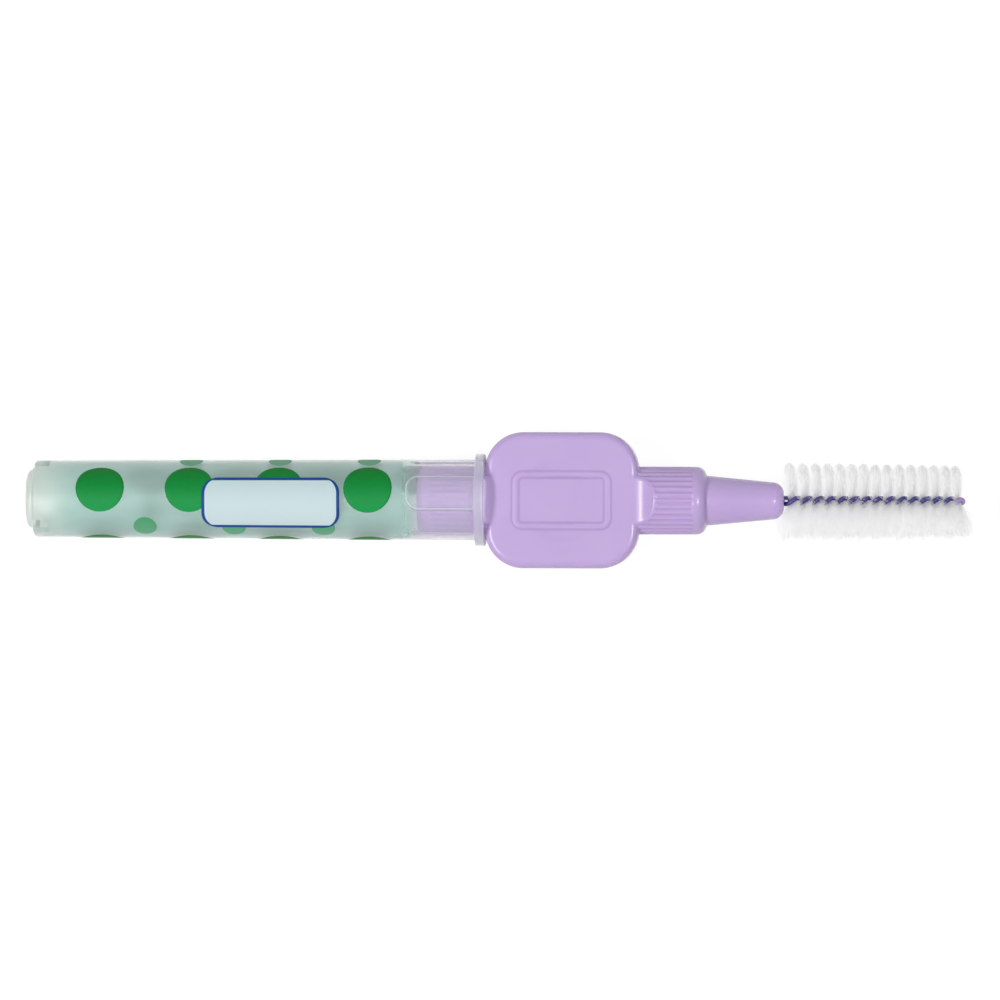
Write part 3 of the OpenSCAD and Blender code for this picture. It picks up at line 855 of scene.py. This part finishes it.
milk = tree.blend(cloud, (0.58, 0.77, 0.73, 1), (0.68, 0.84, 0.80, 1))
milk = tree.blend(frosted_end, milk, (0.88, 0.92, 0.88, 1))
# painted light: the milk turns lilac over the barrel, standing for the barrel's light scattered in the wall
milk = tree.blend(over_barrel, milk, (0.84, 0.80, 0.89, 1))
milk = tree.blend(on_flange, milk, (0.90, 0.88, 0.97, 1))
milky = tree.node("ShaderNodeBsdfPrincipled", {}, {
    "Base Color": milk,
    "Roughness": 0.285 + 0.05 * cloud - smoother * (from_end > body_end) * (1 - on_flange),
    "Transmission Weight": 0.72,
    "IOR": 1.45,
    "Sheen Weight": 0.9, "Sheen Roughness": 0.35,
})
clear = tree.node("ShaderNodeBsdfPrincipled", {}, {
    "Base Color": (0.86, 0.85, 0.89, 1), "Roughness": 0.12, "Transmission Weight": 1.0, "IOR": 1.45,
})
clear_part = clear_share * over_barrel * (1 - on_flange)
milky = tree.node("ShaderNodeMixShader", {}, [clear_part, milky, clear])
# painted highlight: a pale line along the edge of each relief pocket, drawn on the outer wall
pocket_edge = 1 - (2 * tree.stored("pocket") - 1).abs()
painted_edge_highlight = tree.node("ShaderNodeBsdfDiffuse", {}, {"Color": (0.80, 0.84, 0.90, 1)})
milky = tree.node("ShaderNodeMixShader", {}, [highlight_share * pocket_edge, milky, painted_edge_highlight])
let_through = lamp_share * tree.node("ShaderNodeLightPath", out="Is Shadow Ray") * (1 - on_flange)
lamp_light = tree.node("ShaderNodeBsdfTransparent", {}, {"Color": (0.85, 0.9, 0.9, 1)})
show(tree, tree.node("ShaderNodeMixShader", {}, [let_through, milky, lamp_light]))
print("milky plastic ready")

# %% The cap turned from its section
def pocket_mask(r, t, angle):
    """How far inside the outline of a relief pocket a point of the wall lies, from 0 to 1."""
    pitch = 2 * math.pi / pocket_count
    away = (angle - math.radians(pocket_first) + pitch / 2) % pitch - pitch / 2
    across = abs(r * math.sin(away)) - (pocket_w / 2 - pocket_corner)
    along = pocket_start + pocket_corner - t
    edge = pocket_corner - (math.hypot(max(across, 0), max(along, 0)) + min(max(across, along), 0))
    return min(max(edge / pocket_slope, 0), 1)


def turned_cap(section):
    """The section turned round the axis, with its vents cut out and its pockets pressed in."""
    work = bmesh.new()
    pocket = work.verts.layers.float.new("pocket")
    rows = []
    inside = section.index((socket_r, cap_len - lip_round))
    for j, (r, t) in enumerate(section):
        ring = []
        for i in range(1 if r == 0 else spokes):
            angle = 2 * math.pi * i / spokes
            mask = pocket_mask(r, t, angle) if t > even_end else 0
            wide = r + (socket_r + pocket_depth - r) * mask if j >= inside else r
            spot = (cap_low.x + t * MM, wide * math.sin(angle) * MM, axis_z + wide * math.cos(angle) * MM)
            ring.append(work.verts.new(spot))
            # the outer wall keeps the pocket mask, which draws the painted highlight along the pocket's edge
            ring[-1][pocket] = mask if j < inside and t < cap_len - flange_w else 0
        rows.append(ring * spokes if r == 0 else ring)

    half = vent_angle // 2 * spokes // 360
    vented = set()
    for k in range(vent_count):
        centre = (vent_first + k * 360 // vent_count) * spokes // 360
        vented.update((centre + n) % spokes for n in range(-half, half))
    for i in range(spokes):
        n = (i + 1) % spokes
        in_vent = i in vented
        pairs = [
            (j, j + 1) for j in range(len(rows) - 1)
            if not (in_vent and (vent_top <= j < vent_side or vent_back <= j < vent_floor))
        ]
        if in_vent:
            pairs += [(vent_top, vent_floor), (vent_back, vent_side)]
        for a, b in pairs:
            corners = [rows[a][i], rows[a][n], rows[b][n], rows[b][i]]
            work.faces.new([v for k, v in enumerate(corners) if v not in corners[:k]])
        if in_vent != (n in vented):
            edge = [*range(vent_top, vent_side + 1), *range(vent_back, vent_floor + 1)]
            work.faces.new([rows[j][n] for j in edge])
    bmesh.ops.recalc_face_normals(work, faces=work.faces)
    mesh = bpy.data.meshes.new("milky_cap")
    work.to_mesh(mesh)
    work.free()
    return mesh


# %% The cap
crease = math.radians(50)        # edges with a wider turn than this stay sharp
cap_mesh = turned_cap(section)
cap_mesh.polygons.foreach_set("use_smooth", [True] * len(cap_mesh.polygons))
cap_mesh.set_sharp_from_angle(angle=crease)
cap_mesh.materials.append(milky_plastic)
cap = new_piece("milky_cap", cap_mesh)
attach(cap, "cap")
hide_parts("cap")
print("cap:", len(cap_mesh.polygons), "faces")

# %% [markdown]
# ## The print on the cap
# The cap carries a thin printed pattern in green, pale green and pale blue. Here it is a plain design of
# dots and blank rounded panels. A flat patch is copied in staggered rows, and the whole sheet is then
# rolled round the cap's cone, so that the ink follows the surface exactly. A patch knows how far its points
# are from its edge, which lets the panel's blue line be ink and not a shape.

# %% Print recipe
same_spot = 0.0002 * MM
patch_sizes = {
    "Along Count": 4, "Around Count": 3, "First Along": 7.8, "Pitch Along": 9.2, "Stagger": 0.5,
    "First Turn": 0.3, "Length": 5.0, "Height": 5.0, "Corner": 2.5, "Lift": 0.006, "Cells": 17,
    "End Radius": end_r, "Widening": (mouth_r - end_r) / (cap_len - flange_w - boss_h - shoulder_r),
    "Widening Start": boss_h + shoulder_r, "Cap X": cap_low.x / MM, "Axis Height": axis_z / MM,
}


def printed_patches(recipe, material):
    """Flat rounded patches in staggered rows, rolled round the cap."""
    size = recipe.asked

    sheet = recipe.node("GeometryNodeMeshGrid", {}, {
        "Size X": 2.0, "Size Y": 2.0, "Vertices X": size["Cells"], "Vertices Y": size["Cells"],
    })
    u, v, _ = recipe.parts(recipe.node("GeometryNodeInputPosition"))
    v = (v * math.pi / 2).sin()
    y = v * size["Height"] / 2
    over = (y.abs() - size["Height"] / 2 + size["Corner"]).high(0)
    rounding = (size["Corner"] * size["Corner"] - over * over).high(0).sqrt()
    half = size["Length"] / 2 - size["Corner"] + rounding
    rim = ((1 - u.abs()) * half).low((1 - v.abs()) * size["Height"] / 2)
    sheet = recipe.node(
        "GeometryNodeStoreNamedAttribute", {"data_type": "FLOAT"},
        {"Geometry": sheet, "Name": "rim", "Value": rim},
    )
    sheet = recipe.node(
        "GeometryNodeStoreNamedAttribute", {"data_type": "FLOAT"},
        {"Geometry": sheet, "Name": "down", "Value": -0.5 * v + 0.5},
    )
    spot = recipe.vector(u * half, y, 0.0)
    patch = recipe.node("GeometryNodeSetPosition", {}, {"Geometry": sheet, "Position": spot})

    number = recipe.node("GeometryNodeInputIndex")
    nudge = 0.001        # keeps a whole number from being rounded down
    row = (number / size["Along Count"] + nudge).floor()
    column = number - row * size["Along Count"]
    along = size["First Along"] + size["Pitch Along"] * (column + size["Stagger"] * (row % 2))
    around = (size["First Turn"] + row * 2 * math.pi / size["Around Count"]) * size["End Radius"]
    spots = recipe.node("GeometryNodePoints", {}, {
        "Count": size["Along Count"] * size["Around Count"], "Position": recipe.vector(along, around, 0.0),
    })
    copies = recipe.node("GeometryNodeInstanceOnPoints", {}, {"Points": spots, "Instance": patch})
    flat = recipe.node("GeometryNodeRealizeInstances", {}, {"Geometry": copies})

    t, s, _ = recipe.parts(recipe.node("GeometryNodeInputPosition"))
    radius = size["End Radius"] + size["Widening"] * (t - size["Widening Start"]) + size["Lift"]
    angle = s / size["End Radius"]
    rolled = recipe.vector(
        (size["Cap X"] + t) * MM,
        radius * angle.sin() * MM,
        (size["Axis Height"] + radius * angle.cos()) * MM,
    )
    wrapped = recipe.node("GeometryNodeSetPosition", {}, {"Geometry": flat, "Position": rolled})
    joined = recipe.node("GeometryNodeMergeByDistance", {}, {"Geometry": wrapped, "Distance": same_spot})
    recipe.serve(recipe.node("GeometryNodeSetShadeSmooth", {}, {"Geometry": joined}), material)


# %% Inks
def ink(name, top, bottom, line=None, line_width=0.0):
    """Printing ink that fades from top to bottom, with an optional line along the patch's edge."""
    material, tree = new_finish(name)
    grain = tree.noise(tree.place(), 2600.0, 3.0)
    speckle = 0.25
    fade = tree.stored("down") + speckle * (grain - 0.5)
    color = tree.blend(fade.high(0).low(1), top, bottom)
    if line:
        color = tree.blend(tree.stored("rim") < line_width, color, line)
    show(tree, tree.node("ShaderNodeBsdfPrincipled", {}, {
        "Base Color": color, "Roughness": 0.36 + 0.2 * grain, "Specular IOR Level": 0.15,
        "Transmission Weight": 0.15,
    }))
    return material


ink_thickness = 0.01 * MM


def printed(name, material, **changed):
    """One colour of the print as a piece with a real layer of ink."""
    recipe = Recipe(name, {**patch_sizes, **changed})
    printed_patches(recipe, material)
    piece = grow(name, recipe)
    layer = piece.modifiers.new("ink_layer", "SOLIDIFY")
    layer.thickness = ink_thickness
    layer.offset = 1
    baked(piece)
    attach(piece, "cap")
    print(name, len(piece.data.polygons), "faces")


# %% The print in three colours
leaf_green = ink("leaf_green_ink", (0.001, 0.200, 0.018, 1), (0.002, 0.360, 0.075, 1))
pale_green = ink("pale_green_ink", (0.085, 0.400, 0.180, 1), (0.180, 0.500, 0.300, 1))
panel_blue = ink(
    "panel_blue_ink", (0.660, 0.830, 0.860, 1), (0.720, 0.860, 0.880, 1),
    line=(0.010, 0.070, 0.310, 1), line_width=0.32,
)
printed("green_dots", leaf_green)
printed("pale_dots", pale_green, **{
    "Along Count": 3, "Length": 2.4, "Height": 2.4, "Corner": 1.2, "First Along": 12.4, "First Turn": -0.78,
    "Cells": 13,
})
printed("blank_panels", panel_blue, **{
    "Along Count": 1, "Around Count": 2, "First Along": 25.4, "Pitch Along": 0.0, "First Turn": -0.10,
    "Length": 14.2, "Height": 5.4, "Corner": 1.7, "Lift": 0.02, "Cells": 65,
})
